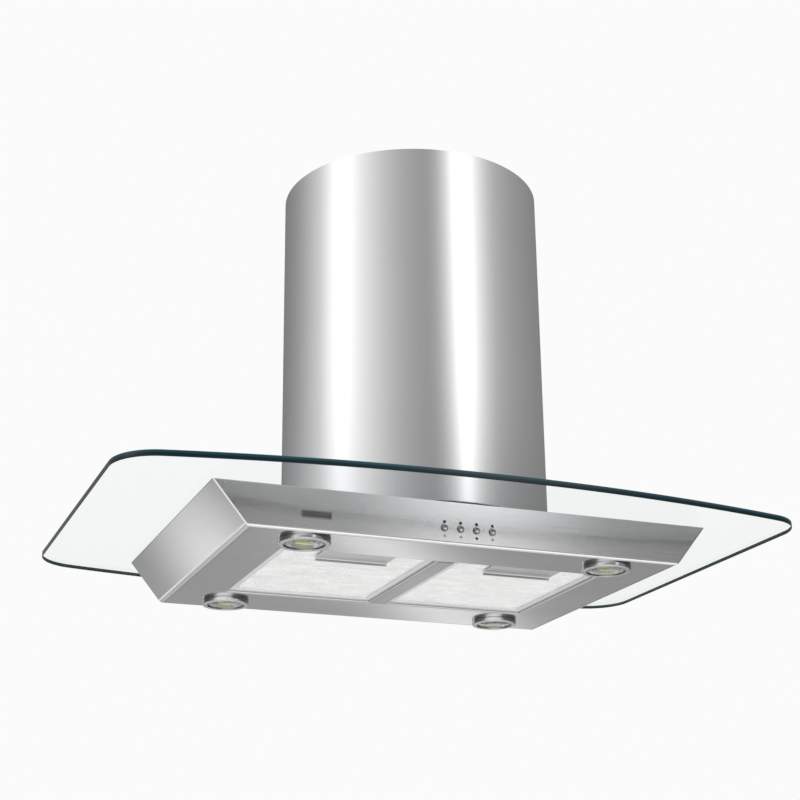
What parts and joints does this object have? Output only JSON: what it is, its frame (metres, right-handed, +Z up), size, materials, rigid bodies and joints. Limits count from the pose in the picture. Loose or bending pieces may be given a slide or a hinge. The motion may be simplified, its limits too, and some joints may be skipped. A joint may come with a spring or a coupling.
{
  "type": "island range hood",
  "caption": "Ceiling-hung kitchen extractor with a round telescopic steel chimney, a clear curved glass canopy and a shallow steel body with mesh filters, lamps and push buttons.",
  "frame": {"origin": "centre of the ceiling plate's top face, on the chimney's axis, at the ceiling", "axes": "+Z up, out of the ceiling plate's top face; +X along the glass canopy's length, to the right for someone facing the controls; -Y towards the controls"},
  "size_m": [0.9, 0.6256, 0.552],
  "materials": {
    "mirror_steel": "fine vertical brushing, nearly mirror bright",
    "brushed_steel": "satin brushed along the length",
    "zinc_steel": "galvanised, dull",
    "chrome": "polished",
    "aluminium_mesh": "bright expanded mesh",
    "canopy_glass": "clear, teal at the polished edge",
    "clear_glass": "clear",
    "bulb_glass": "pale yellow",
    "black_plastic": "moulded, matt",
    "grey_plastic": "moulded, matt",
    "board": "solder mask",
    "black_paint": "semi-gloss",
    "rubber": "matt"
  },
  "bodies": {
    "ceiling_mount": {"ceiling_plate": "zinc_steel", "upper_chimney": "mirror_steel", "upper_strut_1": "zinc_steel", "upper_strut_2": "zinc_steel", "upper_strut_3": "zinc_steel", "upper_strut_4": "zinc_steel"},
    "hood": {"lower_chimney": "mirror_steel", "canopy_shell": "brushed_steel", "bottom_panel": "brushed_steel", "chimney_ring": "zinc_steel", "strut_brace": "zinc_steel", "motor_chamber": "zinc_steel", "blower_housing": "zinc_steel", "motor_bracket": "zinc_steel", "damper_axle": "zinc_steel", "lower_strut_1": "zinc_steel", "lower_strut_2": "zinc_steel", "lower_strut_3": "zinc_steel", "lower_strut_4": "zinc_steel", "badge": "chrome", "lamp_housing_front_left": "chrome", "lamp_housing_front_right": "chrome", "lamp_housing_back_left": "chrome", "lamp_housing_back_right": "chrome", "glass_canopy": "canopy_glass", "light_guide": "clear_glass", "lamp_lens_front_left": "clear_glass", "lamp_lens_front_right": "clear_glass", "lamp_lens_back_left": "clear_glass", "lamp_lens_back_right": "clear_glass", "lamp_bulb_front_left": "bulb_glass", "lamp_bulb_front_right": "bulb_glass", "lamp_bulb_back_left": "bulb_glass", "lamp_bulb_back_right": "bulb_glass", "switch_block": "black_plastic", "transformer": "black_plastic", "terminal_block": "black_plastic", "cable_gland": "black_plastic", "outlet_collar": "black_plastic", "capacitor": "grey_plastic", "terminal_box": "grey_plastic", "terminal_lid": "grey_plastic", "control_board": "board", "motor": "black_paint", "glass_grommet": "rubber"},
    "impeller": {"impeller": "zinc_steel", "impeller_shaft": "zinc_steel"},
    "filter_left": {"filter_frame_left": "aluminium_mesh", "filter_mesh_left": "aluminium_mesh"},
    "filter_right": {"filter_frame_right": "aluminium_mesh", "filter_mesh_right": "aluminium_mesh"},
    "latch_left": {"filter_latch_left": "brushed_steel"},
    "latch_right": {"filter_latch_right": "brushed_steel"},
    "damper_left": {"damper_flap_left": "black_plastic"},
    "damper_right": {"damper_flap_right": "black_plastic"},
    "button_1": {"button_1": "chrome"},
    "button_2": {"button_2": "chrome"},
    "button_3": {"button_3": "chrome"},
    "button_4": {"button_4": "chrome"}
  },
  "joints": [
    {"name": "hood_height", "type": "slide", "parent": "ceiling_mount", "child": "hood", "axis": [0, 0, -1], "range_m": [0, 0.3]},
    {"name": "impeller_spin", "type": "hinge", "parent": "hood", "child": "impeller", "pos_m": [0, -0.052, -0.352], "axis": [1, 0, 0], "continuous": true},
    {"name": "filter_left_hinge", "type": "hinge", "parent": "hood", "child": "filter_left", "pos_m": [-0.1145, 0.1385, -0.5425], "axis": [1, 0, 0], "range_deg": [0, 75]},
    {"name": "latch_left_slide", "type": "slide", "parent": "filter_left", "child": "latch_left", "axis": [0, 1, 0], "range_m": [0, 0.006], "stiffness_N_per_m": 300, "springref_m": -0.004},
    {"name": "filter_right_hinge", "type": "hinge", "parent": "hood", "child": "filter_right", "pos_m": [0.1145, 0.1385, -0.5425], "axis": [1, 0, 0], "range_deg": [0, 75]},
    {"name": "latch_right_slide", "type": "slide", "parent": "filter_right", "child": "latch_right", "axis": [0, 1, 0], "range_m": [0, 0.006], "stiffness_N_per_m": 300, "springref_m": -0.004},
    {"name": "button_1_press", "type": "slide", "parent": "hood", "child": "button_1", "axis": [0, 1, 0], "range_m": [0, 0.0025], "stiffness_N_per_m": 300, "springref_m": -0.002},
    {"name": "button_2_press", "type": "slide", "parent": "hood", "child": "button_2", "axis": [0, 1, 0], "range_m": [0, 0.0025], "stiffness_N_per_m": 300, "springref_m": -0.002},
    {"name": "button_3_press", "type": "slide", "parent": "hood", "child": "button_3", "axis": [0, 1, 0], "range_m": [0, 0.0025], "stiffness_N_per_m": 300, "springref_m": -0.002},
    {"name": "button_4_press", "type": "slide", "parent": "hood", "child": "button_4", "axis": [0, 1, 0], "range_m": [0, 0.0025], "stiffness_N_per_m": 300, "springref_m": -0.002},
    {"name": "damper_left_hinge", "type": "hinge", "parent": "hood", "child": "damper_left", "pos_m": [0, 0, -0.204], "axis": [0, 1, 0], "range_deg": [0, 70]},
    {"name": "damper_right_hinge", "type": "hinge", "parent": "hood", "child": "damper_right", "pos_m": [0, 0, -0.204], "axis": [0, -1, 0], "range_deg": [0, 70]}
  ]
}
